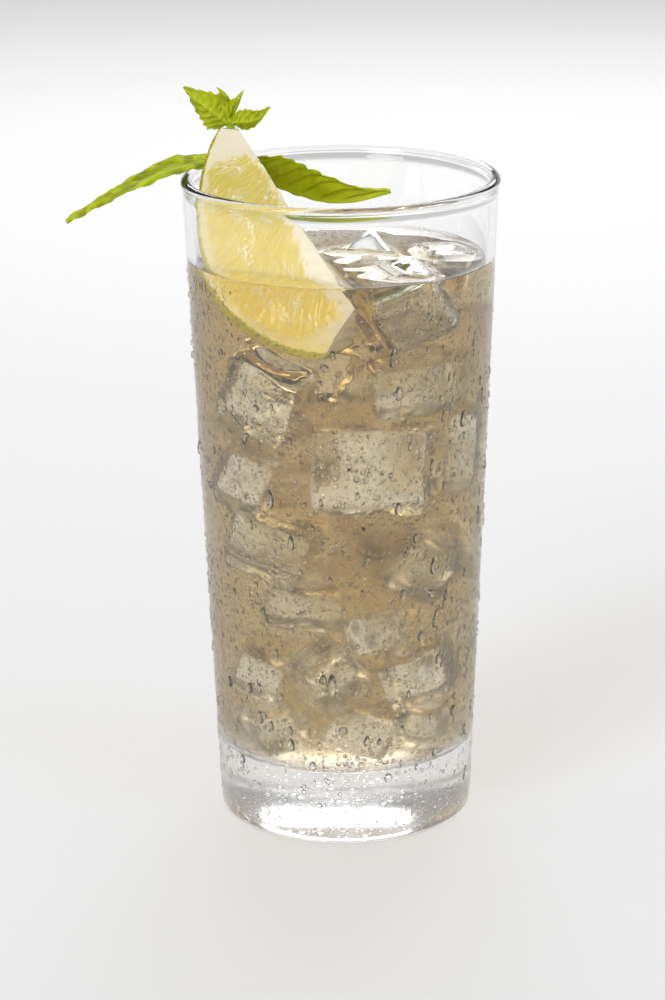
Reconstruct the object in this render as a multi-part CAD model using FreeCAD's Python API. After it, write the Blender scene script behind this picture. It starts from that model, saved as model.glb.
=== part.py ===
"""A tall glass of bourbon and ginger beer: ice, a lime wedge and a sprig of mint.

Every size is in millimetres. The origin is the middle of the foot on the surface that the
glass stands on, +Z is up, and -Y is the front, where the lime shows its cut face.
Each piece of the drink is one solid in a file of its own:
glass, drink, lime_wedge, mint_sprig and the three ice cubes that break the surface.
"""
import FreeCAD, Part
import math
import os
from FreeCAD import Placement, Rotation, Vector

# ---- glass ----------------------------------------------------------------------------
glass_height = 146.0
rim_radius = 35.0            # outermost, at the rolled lip
lip_roll_radius = 1.15       # section of the rolled lip
lip_proud = 0.35             # how far the roll stands out from the wall
foot_radius = 28.3           # the straight wall carried down to the table
foot_round = 1.8             # rounding between the wall and the foot
wall_thickness = 2.0
base_thickness = 16.0        # heavy clear bottom, up to the inner floor
floor_corner_radius = 5.5    # inner floor into the inner wall
punt_radius = 22.0           # hollow under the foot
punt_depth = 1.4

# ---- drink ----------------------------------------------------------------------------
drink_below_rim = 18.4

# ---- lime wedge -----------------------------------------------------------------------
lime_radius = 25.0           # at the lime's equator
lime_half_length = 29.9      # middle to pole
lime_fullness = 0.585        # 0.5 is an ellipse, more is a pointed end
lime_wedge_angle = 62.0
lime_end_at_core = 22.2      # middle to the squared-off lower end, on the core
lime_end_at_peel = 25.2      # and on the peel: the cut leans a little
lime_slant_core = 25.8       # the upper end is cut on the slant, from here on the core
lime_slant_angle = 47.0      # between that slanted cut and the core
lime_heading = -112.6        # from the glass's axis to the lime's middle, from +X
lime_above_level = 11.5      # the lime's middle over the drink
lime_wall_gap = 0.7          # between the peel and the wall that it leans on
core_heading = -40.8         # where the core points as it dives, from +X
core_dive = 46.9             # below the horizontal
face_heading = -120.0        # where the front cut face looks, from +X
face_lift = 10.0             # and how far it looks up
profile_steps = 14           # points on the peel's curve

# ---- mint sprig -----------------------------------------------------------------------
stem_width = 2.0             # mint has a square stem
sprig_heading = 165.9        # where the lowest pair of leaves grows, from +X
sprig_inside_rim = 10.36     # how far inside the lip's outermost circle
sprig_above_rim = 1.6
# from that place up to the top leaves
stem_top = Vector(0.0, -3.4, 11.4)
# from that place down, but measured from the drink's surface
stem_in_glass = Vector(3.4, 4.5, 3.4)
stem_in_drink = Vector(9.9, 7.5, -14.6)
stem_bend_radius = 22.0
leaf_thickness = 0.6

# base, two control points and tip of each leaf's rib from the place of the lowest pair, then its
# widest width and where along the rib that is, how far the blade is rolled about the rib, how
# much further it is rolled at the tip, how far its halves are folded up, its number of teeth, and
# the depth of its teeth as a share of half its width
mint_leaves = [
    dict(rib=[(0.0, 0.0, 0.0), (-15.1, -1.6, 2.0), (-25.1, -0.5, -7.6), (-36.8, -1.0, -12.5)],
         width=14.0, widest=0.38, roll=-4.0, twist=14.0, fold=4.0, teeth=8, depth=0.14),
    dict(rib=[(0.0, 0.2, -0.4), (8.9, 4.0, -4.0), (17.4, -3.8, -12.1), (34.9, -4.0, -5.8)],
         width=17.0, widest=0.47, roll=-36.0, twist=0.0, fold=14.0, teeth=8, depth=0.10),
    dict(rib=[(-0.4, -3.6, 9.4), (-2.9, -4.4, 11.8), (-5.7, -4.4, 13.2), (-10.0, -2.8, 17.6)],
         width=10.8, widest=0.33, roll=64.0, twist=0.0, fold=12.0, teeth=5, depth=0.16),
    dict(rib=[(0.3, -3.8, 9.6), (2.3, -4.8, 10.6), (5.7, -4.8, 8.8), (8.5, -2.6, 13.0)],
         width=5.8, widest=0.38, roll=-60.0, twist=0.0, fold=14.0, teeth=5, depth=0.16),
    dict(rib=[(-0.2, -3.6, 10.6), (-0.7, -4.4, 13.0), (-0.5, -5.0, 16.0), (-2.9, -5.0, 17.8)],
         width=2.2, widest=0.38, roll=80.0, twist=0.0, fold=24.0, teeth=2, depth=0.16),
    dict(rib=[(0.2, -3.4, 10.6), (0.7, -3.2, 13.0), (1.5, -3.0, 14.2), (3.0, -3.0, 16.8)],
         width=2.0, widest=0.38, roll=-80.0, twist=0.0, fold=24.0, teeth=2, depth=0.16),
]
tooth_tip_place = 0.78       # each tooth leans towards the leaf's tip
leaf_stalk_width = 1.5

# ---- ice that breaks the surface ------------------------------------------------------
# size along its own edges, melted corner radius, how far its middle lies from the inner wall
# and below the drink's surface, in which direction from +X, then turns about X, Y and Z
ice_cubes = {
    "ice_back": dict(size=(14.0, 13.5, 15.0), melt=0.8, from_wall=22.5, below=7.2, heading=53.6,
                     turn=(28, -24, 20)),
    "ice_front": dict(size=(17.0, 16.0, 15.0), melt=3.0, from_wall=14.12, below=7.6, heading=-45.0,
                      turn=(4, -26, 13)),
    "ice_right": dict(size=(11.5, 13.0, 13.5), melt=2.4, from_wall=8.5, below=6.0, heading=12.9,
                      turn=(-10, 12, 14)),
}


def ring(points):
    """A closed wire of straight edges through the points."""
    return Part.makePolygon(list(points) + [points[0]])


def spun(wire):
    """A full turn of a flat profile in the XZ plane about the Z axis."""
    return Part.Face(wire).revolve(Vector(0, 0, 0), Vector(0, 0, 1), 360)


def wall_radius(z):
    """The outer wall's radius at a height: a straight taper from the foot to under the lip."""
    under_lip = glass_height - 2 * lip_roll_radius
    return foot_radius + (rim_radius - lip_proud - foot_radius) * z / under_lip


def drink_level():
    return glass_height - drink_below_rim


def inner_radius(z):
    return wall_radius(z) - wall_thickness


def out_from_axis(heading, radius, z):
    """The point at a heading, in degrees from +X, a radius and a height."""
    turn = math.radians(heading)
    return Vector(radius * math.cos(turn), radius * math.sin(turn), z)


def cavity(top):
    """The space inside the wall, from the inner floor up to a height."""
    floor = base_thickness
    solid = spun(ring([
        Vector(0, 0, floor),
        Vector(inner_radius(floor), 0, floor),
        Vector(inner_radius(top), 0, top),
        Vector(0, 0, top),
    ]))
    return round_edges(solid, floor_corner_radius, lambda e: e.BoundBox.ZMax < floor + 0.1)


def round_edges(solid, radius, wanted):
    """Fillets the round edges of a turned solid that a test picks out."""
    edges = [e for e in solid.Edges if isinstance(e.Curve, Part.Circle) and wanted(e)]
    return solid.makeFillet(radius, edges)


def make_glass():
    """Tapered body with a rolled lip, a heavy base, and a shallow hollow under the foot."""
    roll_height = glass_height - lip_roll_radius
    body = spun(ring([
        Vector(0, 0, 0),
        Vector(foot_radius, 0, 0),
        Vector(wall_radius(roll_height), 0, roll_height),
        Vector(0, 0, roll_height),
    ]))
    body = round_edges(body, foot_round, lambda e: e.BoundBox.ZMax < 0.1)
    punt_sphere_radius = (punt_radius ** 2 + punt_depth ** 2) / (2 * punt_depth)
    punt = Part.makeSphere(punt_sphere_radius, Vector(0, 0, punt_depth - punt_sphere_radius))
    lip = Part.makeTorus(rim_radius - lip_roll_radius, lip_roll_radius, Vector(0, 0, roll_height))
    return body.cut(cavity(glass_height)).fuse(lip).cut(punt).removeSplitter()


def peel(s):
    """The lime's radius at a place s along its core, from its middle.

    It is radius * (1 - (s / half length) squared) to the power of the fullness.
    """
    return lime_radius * (1 - (s / lime_half_length) ** 2) ** lime_fullness


def lime_turn():
    """Lays the core along its dive with the front cut face looking out of the glass."""
    down = math.radians(core_dive)
    heading = math.radians(core_heading)
    core_way = Vector(math.cos(down) * math.cos(heading), math.cos(down) * math.sin(heading), -math.sin(down))
    lift = math.radians(face_lift)
    facing = math.radians(face_heading)
    face_way = Vector(math.cos(lift) * math.cos(facing), math.cos(lift) * math.sin(facing), math.sin(lift))
    return Rotation(Vector(), face_way * -1, core_way, "ZYX")


def lime_place(turn):
    """The lime's middle, moved out from the axis until the peel all but leans on the inner wall."""
    height = drink_level() + lime_above_level
    skin = []
    for i in range(-50, 50):
        for j in range(8):
            s = i * lime_end_at_peel / 50
            angle = math.radians(lime_wedge_angle * j / 7)
            point = turn.multVec(Vector(peel(s) * math.cos(angle), peel(s) * math.sin(angle), s))
            if height + point.z < glass_height:
                skin.append(point)
    near, far = 0.0, inner_radius(height)
    while far - near > 0.001:
        middle = out_from_axis(lime_heading, (near + far) / 2, height)
        gap = min(inner_radius((middle + p).z) - math.hypot((middle + p).x, (middle + p).y) for p in skin)
        near, far = ((near + far) / 2, far) if gap > lime_wall_gap else (near, (near + far) / 2)
    return out_from_axis(lime_heading, near, height)


def make_lime_wedge():
    """A sector of a lime turned about its core, one end squared off and one cut on the slant."""
    first, last = -lime_half_length, lime_end_at_peel
    turn = [math.pi * i / profile_steps for i in range(profile_steps + 1)]
    stations = [first + (last - first) * (1 - math.cos(a)) / 2 for a in turn]
    curve = Part.BSplineCurve()
    curve.interpolate([Vector(peel(s), 0, s) for s in stations])
    core_end = Vector(0, 0, lime_end_at_core)
    cut = Part.makeLine(Vector(peel(last), 0, last), core_end)
    core = Part.makeLine(core_end, Vector(0, 0, first))
    face = Part.Face(Part.Wire([curve.toShape(), cut, core]))
    wedge = face.revolve(Vector(0, 0, 0), Vector(0, 0, 1), lime_wedge_angle)

    block = 2 * lime_radius
    slant = Part.makeBox(block, 2 * block, block, Vector(-block, -block, -block))
    slant.Placement = Placement(Vector(0, 0, -lime_slant_core), Rotation(Vector(0, 1, 0), -lime_slant_angle))
    wedge = wedge.cut(slant)
    wedge.Placement = Placement(lime_place(lime_turn()), lime_turn())
    return wedge


def bent_path(points, radius):
    """Straight runs joined by tangent arcs of one radius."""
    edges = []
    start = points[0]
    for before, corner, after in zip(points, points[1:], points[2:]):
        way_in = (corner - before).normalize()
        way_out = (after - corner).normalize()
        half_turn = way_in.getAngle(way_out) / 2
        cut_back = radius * math.tan(half_turn)
        arc_start = corner - way_in * cut_back
        arc_end = corner + way_out * cut_back
        inward = (way_out - way_in).normalize()
        arc_middle = corner + inward * (radius / math.cos(half_turn) - radius)
        edges += [Part.makeLine(start, arc_start), Part.Arc(arc_start, arc_middle, arc_end).toShape()]
        start = arc_end
    edges.append(Part.makeLine(start, points[-1]))
    return Part.Wire(edges)


def sprig_place():
    """Where the lowest pair of leaves grows, just inside the rim and over it."""
    return out_from_axis(sprig_heading, rim_radius - sprig_inside_rim, glass_height + sprig_above_rim)


def make_stem():
    """A square stem carried along its bent path, from the top leaves down into the drink."""
    base = sprig_place()
    surface = Vector(base.x, base.y, drink_level())
    points = [base + stem_top, base, surface + stem_in_glass, surface + stem_in_drink]
    along = (points[1] - points[0]).normalize()
    across = along.cross(Vector(0, 1, 0)).normalize() * (stem_width / 2)
    beside = along.cross(across).normalize() * (stem_width / 2)
    start = points[0]
    square = ring([start + across + beside, start - across + beside, start - across - beside,
                   start + across - beside])
    return bent_path(points, stem_bend_radius).makePipeShell([square], True, False)


def leaf_half_width(t, width, widest):
    """Half the blade's width along the rib: rising to its widest place, drawn out to a point."""
    skew = math.log(0.5) / math.log(widest)
    blade = width / 2 * abs(math.sin(math.pi * t ** skew)) ** 0.85
    return max(blade, leaf_stalk_width / 2 * (1 - t) + 0.12)


def make_leaf(rib, width, widest, roll, twist, fold, teeth, depth):
    """A toothed blade: six-cornered cross-sections ruled together along a curved rib.

    The rib is a cubic curve through its two ends. A section stands at the notch behind each
    tooth and at the tooth's own tip, so the ruled sides zigzag as the margin does.
    """
    p0, p1, p2, p3 = [sprig_place() + Vector(*p) for p in rib]

    def on_rib(t):
        u = 1 - t
        place = p0 * u ** 3 + p1 * (3 * u * u * t) + p2 * (3 * u * t * t) + p3 * t ** 3
        way = (p1 - p0) * (3 * u * u) + (p2 - p1) * (6 * u * t) + (p3 - p2) * (3 * t * t)
        return place, way.normalize()

    stations = [(0.0, 0.0)]
    for tooth in range(teeth):
        stations.append(((tooth + tooth_tip_place) / teeth, 0.0))
        stations.append(((tooth + 1.0) / teeth, depth if tooth < teeth - 1 else 0.0))
    sections = []
    for t, notch in stations:
        place, way = on_rib(t)
        level = way.cross(Vector(0, 0, 1)).normalize()
        across = Rotation(way, roll + twist * t).multVec(level)
        face_up = across.cross(way).normalize()
        reach = leaf_half_width(t, width, widest) * (1 - notch)
        spread = across * (reach * math.cos(math.radians(fold)))
        rise = face_up * (reach * math.sin(math.radians(fold)))
        half = face_up * (leaf_thickness / 2)
        sections.append(ring([
            place + spread + rise + half, place + half, place - spread + rise + half,
            place - spread + rise - half, place - half, place + spread + rise - half,
        ]))
    return Part.makeLoft(sections, True, True)


def make_mint_sprig():
    """The stem with its leaves grown on: one piece."""
    return make_stem().multiFuse([make_leaf(**leaf) for leaf in mint_leaves])


def make_ice(size, melt, from_wall, below, heading, turn):
    """A cube with melted edges, tipped as it floats."""
    height = drink_level() - below
    middle = out_from_axis(heading, inner_radius(drink_level()) - from_wall, height)
    block = Part.makeBox(*size, Vector(*size) * -0.5)
    block = block.makeFillet(melt, block.Edges)
    about_x, about_y, about_z = turn
    block.Placement = Placement(middle, Rotation(about_z, about_y, about_x))
    return block


def main():
    glass = make_glass()
    lime_wedge = make_lime_wedge()
    mint_sprig = make_mint_sprig()
    ice = {name: make_ice(**cube) for name, cube in ice_cubes.items()}
    drink = cavity(drink_level()).cut([lime_wedge, make_stem()] + list(ice.values()))

    os.makedirs("parts", exist_ok=True)
    pieces = {"glass": glass, "drink": drink, "lime_wedge": lime_wedge, "mint_sprig": mint_sprig, **ice}
    for name, shape in pieces.items():
        solid = shape.Solids[0] if len(shape.Solids) == 1 else shape
        solid.exportStep("parts/" + name + ".step")
        volume = round(shape.Volume / 1000, 2)
        print(name, "solids", len(shape.Solids), "valid", shape.isValid(), "cc", volume)


main()
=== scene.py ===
"""Looks of a tall glass of bourbon and ginger beer with ice, a lime wedge and a mint sprig.

The file is laid out as an add-on: settings, one operator for each group of pieces, and a panel.
Lengths in the code are in millimetres, and a piece is put into metres as its mesh is made.
"""

import math

import bmesh
import bpy
import numpy as np
from bpy.props import FloatProperty, FloatVectorProperty, IntProperty, PointerProperty
from mathutils import Matrix, Vector


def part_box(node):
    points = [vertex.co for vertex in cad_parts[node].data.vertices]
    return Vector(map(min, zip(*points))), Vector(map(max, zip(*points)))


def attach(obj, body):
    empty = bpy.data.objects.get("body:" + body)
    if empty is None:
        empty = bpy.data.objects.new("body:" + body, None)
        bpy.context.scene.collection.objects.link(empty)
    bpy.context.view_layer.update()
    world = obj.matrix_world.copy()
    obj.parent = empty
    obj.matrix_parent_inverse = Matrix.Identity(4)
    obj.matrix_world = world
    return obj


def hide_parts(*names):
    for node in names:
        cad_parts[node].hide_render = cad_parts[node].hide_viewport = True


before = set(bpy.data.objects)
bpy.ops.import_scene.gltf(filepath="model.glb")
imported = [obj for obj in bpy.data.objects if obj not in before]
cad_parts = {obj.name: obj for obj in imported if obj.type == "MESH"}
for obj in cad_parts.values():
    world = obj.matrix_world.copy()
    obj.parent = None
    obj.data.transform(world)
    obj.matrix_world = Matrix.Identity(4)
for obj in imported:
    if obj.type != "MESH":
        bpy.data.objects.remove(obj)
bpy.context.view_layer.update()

bl_info = {
    "name": "Tall iced drink",
    "version": (1, 0, 0),
    "blender": (4, 5, 0),
    "location": "3D View > Sidebar > Drink",
    "description": "Glass, drink, ice, lime wedge, mint sprig, dew and the stage they stand on",
    "category": "Add Mesh",
}

MM = 0.001
BODY = "root"
WHITE = (1.0, 1.0, 1.0, 1.0)
NOISE_LATTICE = 32
CELL_LATTICE = 64


# ---- numbers ----------------------------------------------------------------------------
def linear(red, green, blue):
    """A colour given as 0 to 255 on a screen, as the linear values that a shader takes."""
    share = np.array([red, green, blue]) / 255.0
    curve = np.where(share <= 0.04045, share / 12.92, ((share + 0.055) / 1.055) ** 2.4)
    return tuple(float(v) for v in curve)


def smooth_step(low, high, value):
    """0 below low, 1 above high, and the cubic 3t^2 - 2t^3 between."""
    t = np.clip((value - low) / (high - low), 0.0, 1.0)
    return t * t * (3 - 2 * t)


def value_noise(points, size, seed):
    """Smooth noise from -1 to 1: random values on a lattice of that size, eased between its corners."""
    lattice = np.random.default_rng(seed).uniform(-1, 1, (NOISE_LATTICE,) * 3)
    place = points / size
    corner = np.floor(place).astype(int)
    t = place - corner
    t = t * t * (3 - 2 * t)
    total = np.zeros(len(points))
    for dx, dy, dz in np.ndindex(2, 2, 2):
        weight = (np.where(dx, t[:, 0], 1 - t[:, 0]) * np.where(dy, t[:, 1], 1 - t[:, 1])
                  * np.where(dz, t[:, 2], 1 - t[:, 2]))
        total += weight * lattice[tuple(((corner + (dx, dy, dz)) % NOISE_LATTICE).T)]
    return total


def cell_noise(x, y, seed):
    """Cells with one random point each: the distances to the nearest and the second nearest point."""
    points = np.random.default_rng(seed).uniform(0.1, 0.9, (CELL_LATTICE, CELL_LATTICE, 2))
    column, row = np.floor(x).astype(int), np.floor(y).astype(int)
    nearest = np.full(x.shape, 9.0)
    second = np.full(x.shape, 9.0)
    for dx in (-1, 0, 1):
        for dy in (-1, 0, 1):
            spot = points[(column + dx) % CELL_LATTICE, (row + dy) % CELL_LATTICE]
            away = np.hypot(column + dx + spot[..., 0] - x, row + dy + spot[..., 1] - y)
            second = np.minimum(second, np.maximum(nearest, away))
            nearest = np.minimum(nearest, away)
    return nearest, second


def turned(about_x, about_y, about_z):
    """The matrix that turns about X, then Y, then Z, in degrees."""
    turn = Matrix.Rotation(math.radians(about_z), 3, "Z")
    turn = turn @ Matrix.Rotation(math.radians(about_y), 3, "Y")
    return np.array(turn @ Matrix.Rotation(math.radians(about_x), 3, "X"))


# ---- meshes -----------------------------------------------------------------------------
def grid_faces(rows, columns, closed_rows=False, closed_columns=False, first=0):
    """Quads between neighbouring points of a grid laid out row by row, with wrapped ends if closed."""
    row = np.arange(rows if closed_rows else rows - 1)
    column = np.arange(columns if closed_columns else columns - 1)
    r, c = np.meshgrid(row, column, indexing="ij")
    r, c = r.ravel(), c.ravel()
    r1, c1 = (r + 1) % rows, (c + 1) % columns
    return first + np.stack([r * columns + c, r * columns + c1, r1 * columns + c1, r1 * columns + c], 1)


def new_mesh(name, points, faces, weld=True, sharp=None):
    """A mesh in metres from points in millimetres, with its doubles welded unless told not to."""
    mesh = bpy.data.meshes.new(name)
    loops = np.concatenate([f.ravel() for f in faces])
    sizes = np.concatenate([np.full(len(f), f.shape[1]) for f in faces])
    mesh.vertices.add(len(points))
    mesh.vertices.foreach_set("co", (points * MM).astype(np.float32).ravel())
    mesh.loops.add(len(loops))
    mesh.loops.foreach_set("vertex_index", loops.astype(np.int32))
    mesh.polygons.add(len(sizes))
    mesh.polygons.foreach_set("loop_start", (np.cumsum(sizes) - sizes).astype(np.int32))
    mesh.polygons.foreach_set("use_smooth", np.ones(len(sizes), bool))
    mesh.update(calc_edges=True)
    mesh.validate()
    return welded(mesh, sharp) if weld else mesh


def welded(mesh, sharp=None):
    """The mesh with doubles merged and flat faces dropped; sharp is the angle that stays an edge."""
    work = bmesh.new()
    work.from_mesh(mesh)
    bmesh.ops.remove_doubles(work, verts=work.verts, dist=1e-7)
    bmesh.ops.dissolve_degenerate(work, dist=1e-8, edges=work.edges)
    work.to_mesh(mesh)
    work.free()
    if sharp is not None:
        mesh.set_sharp_from_angle(angle=math.radians(sharp))
    return mesh


def face_outward(mesh):
    """Turns every face of a closed mesh outwards."""
    work = bmesh.new()
    work.from_mesh(mesh)
    bmesh.ops.recalc_face_normals(work, faces=work.faces)
    work.to_mesh(mesh)
    work.free()
    return mesh


def set_attribute(mesh, name, values):
    """Stores one number at each point of the mesh."""
    layer = mesh.attributes.new(name, "FLOAT", "POINT")
    layer.data.foreach_set("value", np.asarray(values, np.float32))


def add_piece(name, mesh, material, replaces=()):
    """Links a finished mesh as a piece that rides on the body and stands for CAD nodes."""
    piece = bpy.data.objects.new(name, mesh)
    bpy.context.scene.collection.objects.link(piece)
    mesh.materials.append(material)
    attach(piece, BODY)
    if replaces:
        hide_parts(*replaces)
    return piece


def turned_profile(profile, segments):
    """A surface of revolution: every point (r, z) of the profile is carried round the Z axis."""
    angle = np.linspace(0, 2 * math.pi, segments, endpoint=False)
    r, z = profile[:, 0][:, None], profile[:, 1][:, None]
    points = np.stack([r * np.cos(angle), r * np.sin(angle), z + 0 * angle], -1).reshape(-1, 3)
    return points, grid_faces(len(profile), segments, closed_columns=True)[:, ::-1]


def arc(centre, radius, start, end, steps):
    """Points on a circle in the (r, z) plane from one angle to another, in degrees."""
    angle = np.radians(np.linspace(start, end, steps))
    return np.stack([centre[0] + radius * np.cos(angle), centre[1] + radius * np.sin(angle)], 1)


def line(start, end, steps):
    """Even points on a straight line, without its last one."""
    t = np.linspace(0, 1, steps, endpoint=False)[:, None]
    return np.array(start) * (1 - t) + np.array(end) * t


def joined(parts):
    """One list of points and faces out of several (points, faces) pairs."""
    points, faces, first = [], [], 0
    for part_points, part_faces in parts:
        points.append(part_points)
        faces.append(part_faces + first)
        first += len(part_points)
    return np.concatenate(points), np.concatenate(faces)


# ---- shader maths -----------------------------------------------------------------------
class Wire:
    """An output socket on which sums are written as Python expressions."""

    def __init__(self, finish, socket):
        self.finish = finish
        self.socket = socket

    def sum(self, operation, first, second):
        return self.finish.node("ShaderNodeMath", {"operation": operation}, {0: first, 1: second})

    def __add__(self, other):
        return self.sum("ADD", self, other)

    def __radd__(self, other):
        return self.sum("ADD", other, self)

    def __sub__(self, other):
        return self.sum("SUBTRACT", self, other)

    def __rsub__(self, other):
        return self.sum("SUBTRACT", other, self)

    def __mul__(self, other):
        return self.sum("MULTIPLY", self, other)

    def __rmul__(self, other):
        return self.sum("MULTIPLY", other, self)

    def __pow__(self, other):
        return self.sum("POWER", self, other)


class Finish:
    """A material or world under construction. node() adds any node; the rest are short forms of it."""

    def __init__(self, owner, place="Object"):
        self.owner = owner
        owner.use_nodes = True
        self.tree = owner.node_tree
        self.tree.nodes.clear()
        self.place = self.node("ShaderNodeTexCoord", output=place)

    @classmethod
    def named(cls, name):
        """A new, empty material."""
        return cls(bpy.data.materials.new(name))

    def node(self, kind, settings=None, inputs=None, output=0):
        made = self.tree.nodes.new(kind)
        for key, value in (settings or {}).items():
            if key == "stops":
                self.set_stops(made.color_ramp, value)
            else:
                setattr(made, key, value)
        for key, value in (inputs or {}).items():
            if isinstance(value, Wire):
                self.tree.links.new(value.socket, made.inputs[key])
            else:
                made.inputs[key].default_value = value
        return Wire(self, made.outputs[output])

    def set_stops(self, ramp, stops):
        """Gives a colour ramp its stops, each a place and a colour."""
        while len(ramp.elements) > 1:
            ramp.elements.remove(ramp.elements[-1])
        for number, (place, colour) in enumerate(stops):
            element = ramp.elements[0] if number == 0 else ramp.elements.new(place)
            element.position = place
            element.color = (*colour, 1.0)

    def noise(self, scale, detail=2.0, roughness=0.5, seed=0.0):
        shifted = {"Vector": self.place, "Location": (seed, seed * 1.7, -seed)}
        place = self.node("ShaderNodeMapping", None, shifted)
        return self.node("ShaderNodeTexNoise", None,
                         {"Vector": place, "Scale": scale, "Detail": detail, "Roughness": roughness})

    def cells(self, scale, output="Distance"):
        return self.node("ShaderNodeTexVoronoi", None, {"Vector": self.place, "Scale": scale}, output)

    def attribute(self, name):
        return self.node("ShaderNodeAttribute", {"attribute_name": name}, output="Fac")

    def height(self):
        return self.node("ShaderNodeSeparateXYZ", None, {0: self.place}, "Z")

    def between(self, value, low, high):
        """0 at low and beyond, 1 at high and beyond, and smooth between; low may be the larger."""
        return self.node("ShaderNodeMapRange", {"interpolation_type": "SMOOTHSTEP"},
                         {"Value": value, "From Min": low, "From Max": high})

    def mixed(self, share, first, second, blend="MIX"):
        """A colour between two, by a share from 0 to 1, or with another blend than a plain mix."""
        settings = {"data_type": "RGBA", "blend_type": blend}
        colours = {6: first if isinstance(first, Wire) else (*first, 1.0),
                   7: second if isinstance(second, Wire) else (*second, 1.0)}
        return self.node("ShaderNodeMix", settings, {0: share, **colours}, 2)

    def greatest(self, first, second):
        return self.node("ShaderNodeMath", {"operation": "MAXIMUM"}, {0: first, 1: second})

    def near(self, place, scale):
        """How far away a place is, with each axis stretched by its scale."""
        kind = "ShaderNodeVectorMath"
        away = self.node(kind, {"operation": "SUBTRACT"}, {0: self.place, 1: place})
        away = self.node(kind, {"operation": "MULTIPLY"}, {0: away, 1: scale})
        return self.node(kind, {"operation": "LENGTH"}, {0: away}, "Value")

    def domes(self, scale):
        """Round drops of many sizes, at most one to a cell: sqrt(size^2 - distance^2), in cells.

        A cell's size comes from its random colour, and a little under half the cells stay empty.
        """
        chance = self.node("ShaderNodeSeparateColor", None, {0: self.cells(scale, "Color")})
        size = self.greatest(chance * 0.85 - 0.37, 0.0)
        away = self.cells(scale)
        return self.greatest(size * size - away * away, 0.0) ** 0.5

    def bump(self, height, distance, strength=1.0, over=None):
        inputs = {"Height": height, "Distance": distance, "Strength": strength}
        if over is not None:
            inputs["Normal"] = over
        return self.node("ShaderNodeBump", None, inputs)

    def principled(self, **inputs):
        named = {key.replace("_", " "): value for key, value in inputs.items()}
        return self.node("ShaderNodeBsdfPrincipled", None, named)

    def lets_lamps_through(self, shader, tint):
        """The shader, with lamps shining straight through it in a tint instead of being blocked."""
        shadow = self.node("ShaderNodeLightPath", output="Is Shadow Ray")
        clear = self.node("ShaderNodeBsdfTransparent", None, {"Color": (*tint, 1.0)})
        return self.node("ShaderNodeMixShader", None, {0: shadow, 1: shader, 2: clear})

    def done(self, surface, absorbs=None, density=0.0, output_kind="ShaderNodeOutputMaterial"):
        """Joins the surface, and what the inside absorbs if anything, to the output."""
        output = self.tree.nodes.new(output_kind)
        self.tree.links.new(surface.socket, output.inputs["Surface"])
        if absorbs:
            taken_up = {"Color": (*absorbs, 1.0), "Density": density}
            volume = self.node("ShaderNodeVolumeAbsorption", None, taken_up)
            self.tree.links.new(volume.socket, output.inputs["Volume"])
        return self.owner


# ---- settings ---------------------------------------------------------------------------
glass_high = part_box("glass")[1]
drink_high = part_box("drink")[1]


class GlassSettings(bpy.types.PropertyGroup):
    rim_radius: FloatProperty(name="Rim radius", description="Outermost radius, at the lip",
                              default=glass_high.x, unit="LENGTH")
    height: FloatProperty(name="Height", description="Foot to lip", default=glass_high.z, unit="LENGTH")
    foot_radius: FloatProperty(name="Foot radius", description="The wall carried down to the table",
                               default=0.0283, unit="LENGTH")
    wall: FloatProperty(name="Wall", description="Thickness of the wall", default=0.002, unit="LENGTH")
    mist: FloatProperty(name="Mist", description="How much the condensation blurs the wall",
                        default=0.24, min=0.0, max=1.0, subtype="FACTOR")


class DrinkSettings(bpy.types.PropertyGroup):
    level: FloatProperty(name="Level", description="Height of the surface",
                         default=drink_high.z, unit="LENGTH")
    tint: FloatVectorProperty(name="Tint", description="Colour that the drink lets through",
                              subtype="COLOR", default=(0.70, 0.54, 0.13), min=0.0, max=1.0)
    strength: FloatProperty(name="Strength", description="How fast the drink takes up light, per metre",
                            default=45.0)
    bubbles: IntProperty(name="Bubbles", description="Small bubbles in the drink", default=420)


class IceSettings(bpy.types.PropertyGroup):
    bend: FloatProperty(name="Refraction", description="Refractive index of the ice", default=1.17)
    specks: IntProperty(name="Trapped bubbles", description="Bubbles frozen into each cube", default=44)


class LimeSettings(bpy.types.PropertyGroup):
    flesh: FloatVectorProperty(name="Flesh", description="Colour of the juice sacs", subtype="COLOR",
                               default=linear(229, 207, 127), min=0.0, max=1.0)
    pith: FloatVectorProperty(name="Pith", description="Colour of the pith", subtype="COLOR",
                              default=linear(240, 230, 203), min=0.0, max=1.0)
    peel: FloatVectorProperty(name="Peel", description="Colour of the peel", subtype="COLOR",
                              default=linear(108, 130, 10), min=0.0, max=1.0)


class MintSettings(bpy.types.PropertyGroup):
    leaf: FloatVectorProperty(name="Leaf", description="Colour of the upper side", subtype="COLOR",
                              default=linear(194, 208, 24), min=0.0, max=1.0)
    thickness: FloatProperty(name="Thickness", description="Thickness of a blade",
                             default=0.0004, unit="LENGTH")


class DewSettings(bpy.types.PropertyGroup):
    fine: IntProperty(name="Fine drops", description="Small drops all over the cold wall", default=8000)
    large: IntProperty(name="Large drops", description="Drops large enough to sag", default=330)


class StageSettings(bpy.types.PropertyGroup):
    floor: FloatVectorProperty(name="Floor", description="Colour of the floor", subtype="COLOR",
                               default=(0.84, 0.84, 0.84), min=0.0, max=1.0)
    key: FloatProperty(name="Key light", description="Power of the key light", default=14.6, unit="POWER")


# ---- glass ------------------------------------------------------------------------------
# in millimetres; the foot, the lip and the inner floor's corner are arcs
LIP_ROLL = 1.15
LIP_PROUD = 0.35
FOOT_ROUND = 1.8
BASE = 16.0
FLOOR_CORNER = 5.5
PUNT_RADIUS = 22.0
PUNT_DEPTH = 1.4
AROUND = 256


def wall_radius(z):
    """The outer wall's radius at a height: a straight taper from the foot to under the lip."""
    glass = bpy.context.scene.drink_glass
    foot, rim, height = glass.foot_radius / MM, glass.rim_radius / MM, glass.height / MM
    return foot + (rim - LIP_PROUD - foot) * z / (height - 2 * LIP_ROLL)


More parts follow.
